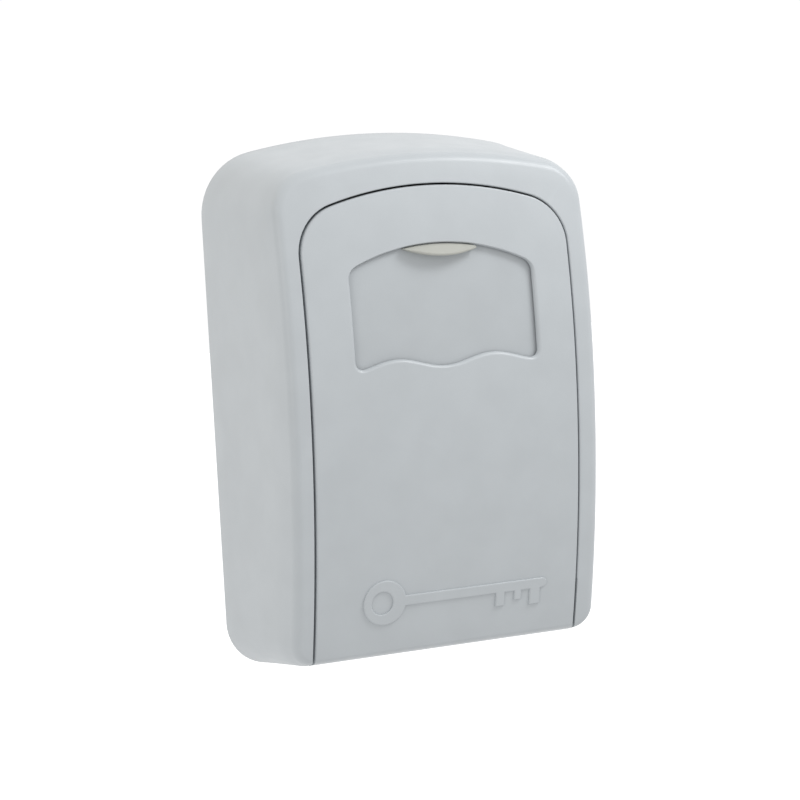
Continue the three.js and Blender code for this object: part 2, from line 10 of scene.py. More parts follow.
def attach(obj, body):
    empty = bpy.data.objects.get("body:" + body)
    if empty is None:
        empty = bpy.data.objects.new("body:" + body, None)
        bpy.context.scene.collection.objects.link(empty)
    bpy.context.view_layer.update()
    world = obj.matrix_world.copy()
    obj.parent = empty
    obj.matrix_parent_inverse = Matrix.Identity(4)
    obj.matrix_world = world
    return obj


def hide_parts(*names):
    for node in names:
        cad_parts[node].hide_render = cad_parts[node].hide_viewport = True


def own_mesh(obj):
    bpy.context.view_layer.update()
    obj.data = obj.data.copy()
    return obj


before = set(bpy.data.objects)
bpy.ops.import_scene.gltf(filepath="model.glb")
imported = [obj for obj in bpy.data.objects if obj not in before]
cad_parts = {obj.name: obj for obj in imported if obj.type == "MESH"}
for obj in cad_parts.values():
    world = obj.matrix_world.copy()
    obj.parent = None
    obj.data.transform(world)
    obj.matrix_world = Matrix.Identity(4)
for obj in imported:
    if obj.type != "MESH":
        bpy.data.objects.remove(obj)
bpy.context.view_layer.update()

# Sizes are in millimetres and become metres where a mesh is made. The frame is the CAD's: the origin is on
# the wall, +X is right as seen from the front, -Y points away from the wall, +Z is up.
MM = 0.001

# Where cutting bodies end, well clear of the box.
FAR_BELOW = -120
CLEAR_OF_BACK = 5

# ---- The casting's form, as in the CAD ----

CREST_Z = 6
UPPER_BOW = 203
LOWER_BOW = 246
DEPTH = 34
DRAFT = 5.2
BOTTOM_DRAFT = 0.67
CORNER_DRAFT = 0.96
DRAFT_ANGLE = math.radians(8.4)
EDGE_RADIUS = 2.4
BACK_EDGE = 0.5
SIDE_WALL = 2.4
BACK_WALL = 2.6
FRAME_DEPTH = 3.2

HOUSING = {"half": 41.5, "bottom": -57.5, "top": 59, "arch": 149, "high": 14.3, "low": 10}
DOOR = {"half": 31.1, "bottom": FAR_BELOW, "top": 46.6, "arch": 80.4, "high": 10.9, "low": 0.4}
DOOR_GAP = 0.4
DOOR_PLAY = -0.12  # the doorway's middle, as the door hangs a little to the right in it
DOOR_EDGE = 0.5
FRAME_EDGE = 0.35
DOOR_SKIN = 2.6
DOOR_RIM = 2
RIM_DEPTH = 7.5
POCKET_BOTTOM = -45.5
DOORWAY_BACK = -20

HINGE = {"y": -18.5, "z": -49.5, "barrel": 5.4, "bore": 1.75, "housing_bore": 1.6}
HINGE_ROOM_TOP = -42
WALL_END_Y = -12.8
SILL = {"back": -11, "top": -48, "overlap": 2}
LUG = {"front": -23.5, "back": -13, "bottom": -57, "top": -43.5}
CATCH = {"x": 14, "half": 4.2, "front": -16.2, "back": -13.8, "bottom": 46.8, "top": 57}
WALL_HOLE = {"x": 22, "z": 33, "radius": 2.4, "head": 4.6}

WINDOW = {"left": -20.8, "right": 22, "top": 34.3, "arch": 47.5, "corner": 1.8, "lip": 0.85, "arch_lip": 0.4}
WAVE = {"mid": 9.3, "height": 1.03, "pitch": 22.4}
POCKET = {"half": 23, "bottom": -18.4, "top": 37.6, "skin": 0.9, "reach": 12}
SHUTTER = {"half": 22.6, "bottom": 5.3, "top": 36.3, "front": 1.3, "back": 2.4}
TAB = {"left": -7.9, "right": 8.9, "lowest": 1.3, "bottom": 31.5, "radius": 24, "proud": 1.55, "gap": 0.2}

DIALS = 4
DIAL = {"x": -8, "pitch": 8.2, "y": -22.2, "z": 22, "radius": 8}
DIGITS = 10
SPRING = {"x": 18, "y": -12.7, "radius": 0.85, "wire": 0.26, "bottom": -3, "top": 9.6, "turns": 8}
SCREWS = [(-26, -2.5), (-26, 34), (26, -2.5), (26, 34)]
SCREW_POST = {"radius": 2.4, "bore": 1.3, "end": -11.8, "depth": 20.5}


def bow(radius, distance):
    return radius - math.sqrt(radius * radius - distance * distance)


def front_depth(z):
    rise = z - CREST_Z
    return DEPTH - bow(LOWER_BOW if rise < 0 else UPPER_BOW, rise)


def track_depth(z):
    """The shutter's track keeps to the upper bow all the way down."""
    return DEPTH - bow(UPPER_BOW, z - CREST_Z)


def arc(cx, cz, radius, start, end, steps):
    angles = [start + (end - start) * i / steps for i in range(steps + 1)]
    return [(cx + radius * math.cos(a), cz + radius * math.sin(a)) for a in angles]


def between(start, end, steps):
    """The points that part a straight line into steps, without its ends."""
    (x0, z0), (x1, z1) = start, end
    return [(x0 + (x1 - x0) * i / steps, z0 + (z1 - z0) * i / steps) for i in range(1, steps)]


def arched(form, inset=0.0, corner=12, side=36, arch=44, base=24):
    """An outline with a flat bottom and an arched top, anticlockwise from its lower left corner."""
    half = form["half"] - inset
    bottom = form["bottom"] + inset
    top = form["top"] - inset
    radius = form["arch"] - inset
    low = max(form["low"] - inset, 0.3)
    high = max(form["high"] - inset, 0.3)
    corner_z = top - radius + math.sqrt((radius - high) ** 2 - (half - high) ** 2)
    meet = math.atan2(corner_z - top + radius, half - high)
    quarter = math.pi / 2
    return (
        arc(-half + low, bottom + low, low, 2 * quarter, 3 * quarter, corner)
        + between((-half + low, bottom), (half - low, bottom), base)
        + arc(half - low, bottom + low, low, 3 * quarter, 4 * quarter, corner)
        + between((half, bottom + low), (half, corner_z), side)
        + arc(half - high, corner_z, high, 0, meet, corner)
        + arc(0, top - radius, radius, meet, math.pi - meet, arch)[1:-1]
        + arc(-half + high, corner_z, high, math.pi - meet, math.pi, corner)
        + between((-half, corner_z), (-half, bottom + low), side)
    )


def shifted(outline, across):
    return [(x + across, z) for x, z in outline]


def housing_outline(drawn, wall=0.0):
    """The housing's outline where the draft has drawn it in, less a wall's thickness."""
    form = dict(HOUSING)
    form["bottom"] = HOUSING["bottom"] + (BOTTOM_DRAFT - 1) * drawn
    form["low"] = HOUSING["low"] - (CORNER_DRAFT - 1) * drawn
    return arched(form, drawn + wall)


# ---- Meshes ----


def mesh_object(name, points, faces):
    """points are in millimetres. The faces are turned to point outwards."""
    mesh = bpy.data.meshes.new(name)
    mesh.from_pydata([Vector(p) * MM for p in points], [], faces)
    work = bmesh.new()
    work.from_mesh(mesh)
    bmesh.ops.recalc_face_normals(work, faces=work.faces)
    work.to_mesh(mesh)
    work.free()
    obj = bpy.data.objects.new(name, mesh)
    bpy.context.scene.collection.objects.link(obj)
    return obj


def loft(name, rings):
    """A closed skin over rings of (x, y, z) points, with a flat cap at each end."""
    count = len(rings[0])
    points = [p for ring in rings for p in ring]
    faces = [tuple(range(count)), tuple(range(len(points) - count, len(points)))]
    for ring in range(len(rings) - 1):
        for i in range(count):
            a = ring * count + i
            b = ring * count + (i + 1) % count
            faces.append((a, b, b + count, a + count))
    return mesh_object(name, points, faces)


def at(outline, depth_at):
    """An outline of (x, z) points set at the depth that a function of z gives."""
    return [(x, depth_at(z), z) for x, z in outline]


def behind_front(offset):
    return lambda z: offset - front_depth(z)


def behind_track(offset):
    return lambda z: offset - track_depth(z)


def flat(y):
    return lambda z: y


def band(name, half, depth_at, near, far, bottom, top, steps=48):
    """A bowed slab across the box, between two offsets behind a surface."""
    heights = [bottom + (top - bottom) * i / steps for i in range(steps + 1)]
    section = [(near - depth_at(z), z) for z in heights]
    section += [(far - depth_at(z), z) for z in reversed(heights)]
    return loft(name, [[(x, y, z) for y, z in section] for x in (-half, half)])


def box(name, across, along, up):
    corners = [(across[0], up[0]), (across[1], up[0]), (across[1], up[1]), (across[0], up[1])]
    return loft(name, [at(corners, flat(along[0])), at(corners, flat(along[1]))])


def rod_x(name, radius, x0, x1, y, z, rounding=0.0, sides=64):
    """A rod along X with rounded ends."""
    profile = [(x0, radius - rounding), (x1, radius - rounding)]
    if rounding:
        quarter = [i * math.pi / 8 for i in range(5)]
        near = [(x0 + rounding * (1 - math.sin(a)), radius - rounding * (1 - math.cos(a))) for a in quarter]
        profile = near[::-1] + [(x0 + x1 - x, r) for x, r in near]
    turns = [2 * math.pi * i / sides for i in range(sides)]
    return loft(name, [[(x, y + r * math.cos(a), z + r * math.sin(a)) for a in turns] for x, r in profile])


def rod_y(name, x, z, profile, sides=48):
    """A turned shape along Y from a profile of (y, radius) points."""
    turns = [2 * math.pi * i / sides for i in range(sides)]
    return loft(name, [[(x + r * math.cos(a), y, z + r * math.sin(a)) for a in turns] for y, r in profile])


def combine(base, other, operation="DIFFERENCE"):
    """The exact boolean of two objects, kept in the first; the other is used up."""
    modifier = base.modifiers.new("boolean", "BOOLEAN")
    modifier.operation = operation
    modifier.solver = "EXACT"
    modifier.object = other
    apply_modifiers(base)
    bpy.data.objects.remove(other)
    return base


def apply_modifiers(obj):
    graph = bpy.context.evaluated_depsgraph_get()
    result = bpy.data.meshes.new_from_object(obj.evaluated_get(graph))
    obj.modifiers.clear()
    obj.data = result
    return obj


def smooth(obj, angle=32):
    """Smooth shading that breaks at edges sharper than the angle."""
    obj.data.polygons.foreach_set("use_smooth", [True] * len(obj.data.polygons))
    obj.data.set_sharp_from_angle(angle=math.radians(angle))
    return obj


def fair_normals(obj):
    modifier = obj.modifiers.new("normals", "WEIGHTED_NORMAL")
    modifier.keep_sharp = True
    modifier.weight = 60
    return obj


SKIN_REACH = 0.02  # how near a point lies to the skin that it is part of
SKIN_ALIGNED = 0.9  # and the least cosine between its face and that skin


def skin_normal(skin, tree, place):
    """The smooth normal of the skin nearest to a place, or None if the place is off the skin."""
    spot, _, index, distance = tree.find_nearest(place)
    if distance > SKIN_REACH * MM:
        return None
    vertices = [skin.vertices[i] for i in skin.polygons[index].vertices]
    normal = Vector()
    for share, vertex in zip(poly_3d_calc([v.co for v in vertices], spot), vertices):
        normal += share * vertex.normal
    return normal.normalized()


def shaded_as_cast(obj):
    """Where a cut casting still lies on the uncut block, it is shaded as that block is."""
    mesh = apply_modifiers(fair_normals(smooth(obj))).data
    block = casting_block("block")
    skin = block.data
    tree = BVHTree.FromPolygons([v.co for v in skin.vertices], [p.vertices[:] for p in skin.polygons])
    on_skin = [skin_normal(skin, tree, vertex.co) for vertex in mesh.vertices]
    normals = [corner.vector.copy() for corner in mesh.corner_normals]
    for face in mesh.polygons:
        for corner in face.loop_indices:
            normal = on_skin[mesh.loops[corner].vertex_index]
            if normal and normal.dot(face.normal) > SKIN_ALIGNED:
                normals[corner] = normal
    mesh.normals_split_custom_set(normals)
    bpy.data.objects.remove(block)
    return obj


def soften(obj, width, segments=3, angle=40):
    """Rounds the edges that are sharper than the angle."""
    weld = obj.modifiers.new("weld", "WELD")
    weld.merge_threshold = 1e-6
    bevel = obj.modifiers.new("edges", "BEVEL")
    bevel.width = width * MM
    bevel.segments = segments
    bevel.limit_method = "ANGLE"
    bevel.angle_limit = math.radians(angle)
    bevel.harden_normals = False
    return fair_normals(obj)


def quarter_edge(radius, steps=6):
    """(inset, offset) pairs round a quarter circle, from a side wall to the front surface."""
    angles = [math.pi / 2 * i / steps for i in range(steps + 1)]
    return [(radius * (1 - math.cos(a)), radius * (1 - math.sin(a))) for a in angles]


def edged_prism(name, outline, radius, back, grow=1):
    """A prism along Y whose section shrinks (grow 1) or widens (grow -1) in a quarter circle as it meets
    the front surface. outline gives its points at an inset."""
    rings = [at(outline(0), flat(back)), at(outline(0), behind_front(3 * radius))]
    for inset, offset in quarter_edge(radius):
        rings.append(at(outline(grow * inset), behind_front(offset)))
    rings.append(at(outline(grow * radius), flat(-2 * DEPTH)))
    return loft(name, rings)


# ---- Housing ----


def edge_at(angle):
    """How far in, and how far short of the front, the rounded front edge stands."""
    inset = DRAFT + EDGE_RADIUS * (math.cos(DRAFT_ANGLE) - math.cos(angle))
    return inset, EDGE_RADIUS * (1 - math.sin(angle))


def bowed_cap(rim, offset, rings=14):
    """Rings that close an outline of (x, z) points over the bowed front."""
    shares = [1 - i / rings for i in range(1, rings)]
    shrunk = [[(x * s, CREST_Z + (z - CREST_Z) * s) for x, z in rim] for s in shares]
    return [at(ring, behind_front(offset)) for ring in shrunk]


def casting_block(name):
    """The whole box as one solid: drafted sides, a rounded front edge and a bowed front."""
    back_edge = quarter_edge(BACK_EDGE)[::-1]
    rings = [at(housing_outline(0, inset), flat(-offset)) for inset, offset in back_edge]
    for share in [i / 8 for i in range(1, 8)]:
        rings.append(at(housing_outline(DRAFT * share), lambda z, s=share: -s * front_depth(z)))
    for step in range(11):
        angle = DRAFT_ANGLE + (math.pi / 2 - DRAFT_ANGLE) * step / 10
        inset, short = edge_at(angle)
        rings.append(at(housing_outline(inset), behind_front(short)))
    return loft(name, rings + bowed_cap([(x, z) for x, y, z in rings[-1]], 0))


def inner_block(name, back_wall, side_wall, frame_depth):
    """The box's form less a wall's thickness on every side."""
    rings = []
    for share in (0, 0.25, 0.5, 0.75, 1):
        outline = housing_outline(DRAFT * (0.08 + 0.84 * share), side_wall)
        depth = lambda z, s=share: -back_wall - s * (front_depth(z) - frame_depth - back_wall)
        rings.append(at(outline, depth))
    return loft(name, rings + bowed_cap(outline, frame_depth))


def within_walls(obj):
    """What is added inside the box ends within its walls' thickness."""
    limit = inner_block("limit", BACK_WALL / 2, SIDE_WALL / 2, FRAME_DEPTH / 2)
    return combine(obj, limit, "INTERSECT")


def housing_casting():
    doorway = DOOR["half"] + DOOR_GAP
    cavity = inner_block("cavity", BACK_WALL, SIDE_WALL, FRAME_DEPTH)
    shell = combine(casting_block("housing_casting"), cavity)
    outline = lambda inset: shifted(arched(DOOR, inset - DOOR_GAP, arch=47, side=41), DOOR_PLAY)
    shell = combine(shell, edged_prism("opening", outline, FRAME_EDGE, DOORWAY_BACK, -1))
    room = box("room", (-doorway, doorway), (-2 * DEPTH, WALL_END_Y), (FAR_BELOW, HINGE_ROOM_TOP))
    shell = combine(shell, room)
    sill_half = doorway + SILL["overlap"]
    sill = box("sill", (-sill_half, sill_half), (WALL_END_Y, SILL["back"]), (FAR_BELOW, SILL["top"]))
    additions = [sill]
    for side in (-1, 1):
        across = sorted((side * doorway, side * HOUSING["half"]))
        along, up = (LUG["front"], LUG["back"]), (LUG["bottom"], LUG["top"])
        additions.append(box("lug", across, along, up))
        across = (side * CATCH["x"] - CATCH["half"], side * CATCH["x"] + CATCH["half"])
        along, up = (CATCH["front"], CATCH["back"]), (CATCH["bottom"], CATCH["top"])
        additions.append(box("catch", across, along, up))
    for addition in additions:
        shell = combine(shell, within_walls(addition), "UNION")
    shell = combine(shell, rod_x("bore", HINGE["housing_bore"], -34.7, 34.7, HINGE["y"], HINGE["z"]))
    for x in (-WALL_HOLE["x"], WALL_HOLE["x"]):
        for z in (-WALL_HOLE["z"], WALL_HOLE["z"]):
            hole, head = WALL_HOLE["radius"], WALL_HOLE["head"]
            profile = [(1, hole), (-0.8, hole), (-3, head), (-5, head)]
            shell = combine(shell, rod_y("hole", x, z, profile))
    return shaded_as_cast(shell)


# ---- Door ----


def wave_z(x):
    return WAVE["mid"] - WAVE["height"] * math.cos(2 * math.pi * x / WAVE["pitch"])


def window_outline(inset=0.0):
    """The window at an inset: a waved bottom, straight sides and an arched top, with rounded corners.

    Its arch moves by only a share of the inset, arch_lip, as its edge is the sharpest.
    """
    left, right = WINDOW["left"] + inset, WINDOW["right"] - inset
    corner = max(WINDOW["corner"] - inset, 0.2)
    radius = WINDOW["arch"] - WINDOW["arch_lip"] * inset
    top = WINDOW["top"] - WINDOW["arch_lip"] * inset
    steps = 48
    across = [left + corner + (right - left - 2 * corner) * i / steps for i in range(steps + 1)]
    bottom = [(x, wave_z(x) + inset) for x in across]
    arch = [(x, top - bow(radius, x)) for x in reversed(across)]
    turn = lambda a, b, c: [bezier(a, b, c, i / 6) for i in range(1, 6)]
    outline = list(bottom)
    for x, foot, head in ((right, bottom[-1], arch[0]), (left, bottom[0], arch[-1])):
        corner_z = top - bow(radius, x)
        low, high = foot[1] + corner, corner_z - corner
        side = [(x, low)] + between((x, low), (x, high), 20) + [(x, high)]
        whole = turn(foot, (x, foot[1]), (x, low)) + side + turn((x, high), (x, corner_z), head)
        outline += whole + arch if x == right else whole[::-1]
    return outline


def bezier(a, b, c, share):
    """A point on the curve from a to c that bends towards b."""
    p, q, r = (1 - share) ** 2, 2 * share * (1 - share), share ** 2
    return (p * a[0] + q * b[0] + r * c[0], p * a[1] + q * b[1] + r * c[1])


def rectangle(half, bottom, top, steps=30):
    left = [(-half, bottom), (half, bottom)]
    right = between((half, bottom), (half, top), steps)
    return left + right + [(half, top), (-half, top)] + between((-half, top), (-half, bottom), steps)


def door_back():
    """What lies between the door's front and its back: the rim, and the thick foot over the hinge."""
    steps = 40
    start, end = HINGE["z"] + 1, DOOR["top"] + 2
    heights = [start + (end - start) * i / steps for i in range(steps + 1)]
    profile = [(-2 * DEPTH, -80), (HINGE["y"] + 2, -80), (HINGE["y"] + 2, HINGE["z"])]
    profile += [(RIM_DEPTH - front_depth(z), z) for z in heights]
    profile.append((-2 * DEPTH, end))
    half = DOOR["half"] + 1
    return loft("door_back", [[(x, y, z) for y, z in profile] for x in (-half, half)])


def door_casting():
    shell = casting_block("door_casting")
    outline = lambda inset: arched(DOOR, inset, arch=45, side=39)
    shell = combine(shell, edged_prism("prism", outline, DOOR_EDGE, CLEAR_OF_BACK), "INTERSECT")
    shell = combine(shell, door_back(), "INTERSECT")
    outline = arched(dict(DOOR, bottom=POCKET_BOTTOM - DOOR_RIM, low=4), DOOR_RIM)
    half = DOOR["half"]
    hollow = loft("hollow", [at(outline, flat(-2 * DEPTH)), at(outline, flat(CLEAR_OF_BACK))])
    room = band("room", half, front_depth, DOOR_SKIN, 2 * DEPTH, POCKET_BOTTOM - 1, DOOR["top"])
    shell = combine(shell, combine(hollow, room, "INTERSECT"))
    barrel = rod_x("barrel", HINGE["barrel"], -half, half, HINGE["y"], HINGE["z"], 0.5)
    shell = combine(shell, barrel, "UNION")
    for x, z in SCREWS:
        end, radius = SCREW_POST["end"], SCREW_POST["radius"]
        post = rod_y("post", x, z, [(2 - front_depth(z), radius), (end - 0.3, radius), (end, radius - 0.3)])
        shell = combine(shell, post, "UNION")
    span = (POCKET["skin"], POCKET["reach"], POCKET["bottom"], POCKET["top"])
    shell = combine(shell, band("pocket", POCKET["half"], track_depth, *span))
    shell = combine(shell, rod_x("bore", HINGE["bore"], -40, 40, HINGE["y"], HINGE["z"]))
    for x, z in SCREWS:
        bore = SCREW_POST["bore"]
        shell = combine(shell, rod_y("bore", x, z, [(-SCREW_POST["depth"], bore), (0, bore)], 24))
    shell = combine(shell, edged_prism("window", window_outline, WINDOW["lip"], -DEPTH / 2, -1))
    return shaded_as_cast(shell)


# ---- Shutter and its tab ----


def shutter_plate():
    """A curved plate with rounded edges."""
    half, low, high = SHUTTER["half"], SHUTTER["bottom"], SHUTTER["top"]
    front, back = SHUTTER["front"], SHUTTER["back"]
    outline = lambda inset: rectangle(half - inset, low + inset, high - inset)
    edge = 0.25
    rounding = quarter_edge(edge, 3)
    rings = [at(outline(inset), behind_track(front + offset)) for inset, offset in rounding[::-1]]
    rings += [at(outline(inset), behind_track(back - offset)) for inset, offset in rounding]
    inner = [0.8, 0.6, 0.4, 0.2]
    middle = (low + high) / 2
    shrunk = lambda share: [(x * share, middle + (z - middle) * share) for x, z in outline(edge)]
    rings = [at(shrunk(s), behind_track(front)) for s in reversed(inner)] + rings
    rings += [at(shrunk(s), behind_track(back)) for s in inner]
    return smooth(loft("shutter_plate", rings))


def tab_section(x):
    """The tab's (y, z) section at x: a thin top edge, a face that slopes out, and a rounded lower lip."""
    low = TAB["bottom"] + bow(TAB["radius"], x - TAB["lowest"])
    high = WINDOW["top"] - TAB["gap"] - bow(WINDOW["arch"], x)
    height = max(high - low, 0.05)
    share = min(1, height / 2.4)
    seat = -track_depth(TAB["bottom"]) + SHUTTER["front"] + 0.15
    proud = -track_depth(TAB["bottom"]) - TAB["proud"] * share
    crown = -track_depth(high) + 0.25
    lip = min(0.45, height * 0.3)
    points = [(seat, high), (crown + 0.15, high), (crown, high - 0.12 * share)]
    points += [(crown + (proud - crown) * i / 8, high - (high - low - lip) * i / 8) for i in range(1, 9)]
    for i in range(1, 6):
        angle = math.pi / 2 * i / 5
        points.append((proud + lip * (1 - math.cos(angle)), low + lip * (1 - math.sin(angle))))
    points.append((seat, low))
    return points


def thumb_tab():
    steps = 56
    middle, half = (TAB["left"] + TAB["right"]) / 2, (TAB["right"] - TAB["left"]) / 2
    places = [middle + half * math.sin(math.pi / 2 * (2 * i / steps - 1)) for i in range(steps + 1)]
    rings = [[(x, y, z) for y, z in tab_section(x)] for x in places]
    return smooth(loft("thumb_tab", rings), 50)


# ---- Relief on the door: a plain key, in place of lettering ----

EMBLEM = {"x": 1.5, "z": -41.8, "bow": 5.0, "hole": 2.5, "length": 44, "shaft": 1.15, "height": 0.42}


def key_outline():
    """The outer line of a key that lies along X, with its bow on the left."""
    radius, shaft = EMBLEM["bow"], EMBLEM["shaft"]
    start = -EMBLEM["length"] / 2 + radius
    end = EMBLEM["length"] / 2
    join = math.asin(shaft / radius)
    points = arc(start, 0, radius, join, 2 * math.pi - join, 40)
    for x, width, depth in ((end - 12.5, 2.2, 3.1), (end - 8.0, 1.8, 2.1), (end - 4.2, 2.6, 3.6)):
        points += [(x, -shaft), (x, -shaft - depth), (x + width, -shaft - depth), (x + width, -shaft)]
    points += arc(end - shaft, 0, shaft, -math.pi / 2, math.pi / 2, 8)
    return points


def key_emblem():
    curve = bpy.data.curves.new("key_emblem", "CURVE")
    curve.dimensions = "2D"
    curve.fill_mode = "BOTH"
    start = -EMBLEM["length"] / 2 + EMBLEM["bow"]
    hole = arc(start - 0.6, 0, EMBLEM["hole"], 0, 2 * math.pi, 32)[:-1]
    for outline in (key_outline(), hole):
        spline = curve.splines.new("POLY")
        spline.points.add(len(outline) - 1)
        for point, (x, z) in zip(spline.points, outline):
            point.co = (x * MM, z * MM, 0, 1)
        spline.use_cyclic_u = True
    curve.extrude = 0.2 * MM
    curve.bevel_depth = 0.3 * MM
    curve.bevel_resolution = 4
    curve.offset = -0.3 * MM
    source = bpy.data.objects.new("source", curve)
    bpy.context.scene.collection.objects.link(source)
    graph = bpy.context.evaluated_depsgraph_get()
    mesh = bpy.data.meshes.new_from_object(source.evaluated_get(graph))
    bpy.data.objects.remove(source)
    mesh.name = "key_emblem"
    for vertex in mesh.vertices:
        x, z, rise = vertex.co
        height = z / MM + EMBLEM["z"]
        surface = -front_depth(height) - EMBLEM["height"] + 0.5
        vertex.co = ((x / MM + EMBLEM["x"]) * MM, surface * MM - rise, height * MM)
    obj = bpy.data.objects.new("key_emblem", mesh)
    bpy.context.scene.collection.objects.link(obj)
    return smooth(obj, 40)


# ---- Numbers on the wheels ----


def glyph(digit, size):
    """A digit as a thin mesh, centred on the origin, with cuts across it so that it bends."""
    text = bpy.data.curves.new("glyph", "FONT")
    text.body = str(digit)
    text.size = size * MM
    text.align_x = "CENTER"
    text.align_y = "CENTER"
    text.extrude = 0.12 * MM
    text.resolution_u = 6
    source = bpy.data.objects.new("glyph", text)
    bpy.context.scene.collection.objects.link(source)
    graph = bpy.context.evaluated_depsgraph_get()
    mesh = bpy.data.meshes.new_from_object(source.evaluated_get(graph))
    bpy.data.objects.remove(source)
    work = bmesh.new()
    work.from_mesh(mesh)
    for step in range(-4, 5):
        everything = work.verts[:] + work.edges[:] + work.faces[:]
        bmesh.ops.bisect_plane(work, geom=everything, plane_co=(0, step * 0.4 * MM, 0), plane_no=(0, 1, 0))
    work.to_mesh(mesh)
    work.free()
    return mesh


def numerals(index):
    """The ten digits of one wheel, wrapped round it."""
    radius = DIAL["radius"]
    middle = DIAL["x"] + index * DIAL["pitch"]
    points, faces = [], []
    for digit in range(DIGITS):
        mesh = glyph(digit, 3.9)
        first = len(points)
        for vertex in mesh.vertices:
            u, v, rise = (c / MM for c in vertex.co)
            angle = math.pi + 2 * math.pi * digit / DIGITS - v / radius
            r = radius - 0.08 + rise
            points.append((middle + u, DIAL["y"] + r * math.cos(angle), DIAL["z"] + r * math.sin(angle)))
        faces += [tuple(first + i for i in face.vertices) for face in mesh.polygons]
    return smooth(mesh_object(f"numerals_{index + 1}", points, faces), 40)


# ---- Latch springs ----


def coil(name, side):
    """A round wire wound as an open spring, its turns a little wider apart at the ends than in the middle.
    """
    steps_per_turn, ring_sides = 28, 10
    count = SPRING["turns"] * steps_per_turn
    wire = SPRING["wire"]
    length = SPRING["top"] - SPRING["bottom"] - 2 * wire
    rings = []
    for step in range(count + 1):
        share = step / count
        eased = share + 0.02 * math.sin(2 * math.pi * share)
        turn = 2 * math.pi * SPRING["turns"] * share
        outward = Vector((math.cos(turn), math.sin(turn), 0))
        centre = Vector((side * SPRING["x"], SPRING["y"], SPRING["bottom"] + wire + length * eased))
        centre += outward * SPRING["radius"]
        ring = []
        for i in range(ring_sides):
            a = 2 * math.pi * i / ring_sides
            ring.append(tuple(centre + outward * wire * math.cos(a) + Vector((0, 0, wire * math.sin(a)))))
        rings.append(ring)
    return smooth(loft(name, rings), 60)


# ---- Materials ----


class Material:
    """A procedural finish: colour and roughness that vary slowly, a fine grain, and worn edges."""

    def __init__(self, name, color, roughness, metallic=0.0):
        self.material = bpy.data.materials.new(name)
        self.material.use_nodes = True
        self.tree = self.material.node_tree
        self.shader = self.tree.nodes["Principled BSDF"]
        self.shader.inputs["Metallic"].default_value = metallic
        self.color = color
        self.roughness = roughness
        self.place = self.node("ShaderNodeTexCoord").outputs["Object"]

    def node(self, kind, **values):
        made = self.tree.nodes.new(kind)
        for key, value in values.items():
            setattr(made, key, value)
        return made

    def link(self, source, target):
        self.tree.links.new(source, target)

    def noise(self, scale, detail=3.0, stretch=(1, 1, 1)):
        mapping = self.node("ShaderNodeMapping")
        mapping.inputs["Scale"].default_value = stretch
        self.link(self.place, mapping.inputs["Vector"])
        noise = self.node("ShaderNodeTexNoise")
        noise.inputs["Scale"].default_value = scale
        noise.inputs["Detail"].default_value = detail
        self.link(mapping.outputs["Vector"], noise.inputs["Vector"])
        return noise.outputs["Fac"]

    def ranged(self, source, low, high, bottom=0.0, top=1.0):
        """The source's span from low to high, spread over bottom to top."""
        node = self.node("ShaderNodeMapRange")
        for name, value in (("From Min", low), ("From Max", high), ("To Min", bottom), ("To Max", top)):
            node.inputs[name].default_value = value
        self.link(source, node.inputs["Value"])
        return node.outputs["Result"]

    def mixed(self, factor, first, second):
        node = self.node("ShaderNodeMix", data_type="RGBA")
        self.link(factor, node.inputs["Factor"])
        for socket, value in ((node.inputs[6], first), (node.inputs[7], second)):
            if isinstance(value, bpy.types.NodeSocket):
                self.link(value, socket)
            else:
                socket.default_value = (*value, 1)
        return node.outputs[2]

    def paint(self, mottle, patch, wear, worn=None):
        """Colour that drifts by the share mottle over patches of a size in millimetres, with worn edges."""
        light = [min(1, c * (1 + mottle)) for c in self.color]
        dark = [c * (1 - mottle) for c in self.color]
        drift = self.ranged(self.noise(1000 / patch), 0.35, 0.65)
        color = self.mixed(drift, dark, light)
        point = self.node("ShaderNodeNewGeometry").outputs["Pointiness"]
        edge = self.ranged(point, 0.53, 0.62, 0, wear)
        color = self.mixed(edge, color, worn or [min(1, c * 1.25) for c in self.color])
        self.link(color, self.shader.inputs["Base Color"])
        return self

    def polish(self, spread, patch):
        """Roughness that varies by spread over patches of a size in millimetres."""
        fac = self.noise(1000 / patch)
        value = self.ranged(fac, 0.3, 0.7, self.roughness - spread, self.roughness + spread)
        self.link(value, self.shader.inputs["Roughness"])
        return self

    def grain(self, layers, stretch=(1, 1, 1)):
        """Bumps given as (size in millimetres, height in millimetres) pairs."""
        normal = None
        for size, height in layers:
            bump = self.node("ShaderNodeBump")
            bump.inputs["Distance"].default_value = height * MM
            self.link(self.noise(1000 / size, 2.0, stretch), bump.inputs["Height"])
            if normal:
                self.link(normal, bump.inputs["Normal"])
            normal = bump.outputs["Normal"]
        self.link(normal, self.shader.inputs["Normal"])
        return self


SHUTTER_COAT_AND_RECESS_SHADE = 0.94  # the shutter's coat is a little darker than the castings': partly its own tone, partly painted shade of the recess it sits in


def powder_coat(name="powder_coat", shade=1.0):
    made = Material(name, [c * shade for c in (0.505, 0.535, 0.555)], 0.37)
    made.paint(0.018, 9, 0.08).polish(0.04, 6).grain([(1.4, 0.012), (0.35, 0.003)])
    return made.material


def cream_plastic():
    made = Material("tab_plastic", (0.455, 0.46, 0.42), 0.36)
    made.paint(0.012, 4, 0.3).polish(0.04, 3).grain([(0.6, 0.003)])
    return made.material


def black_plastic():
    made = Material("black_plastic", (0.022, 0.022, 0.024), 0.45)
    made.paint(0.15, 5, 0.25, (0.07, 0.07, 0.07)).polish(0.06, 3).grain([(0.3, 0.006)])
    return made.material


def grey_plastic():
    made = Material("grey_plastic", (0.07, 0.07, 0.075), 0.5)
    made.paint(0.12, 5, 0.25, (0.13, 0.13, 0.13)).polish(0.05, 3).grain([(0.35, 0.006)])
    return made.material


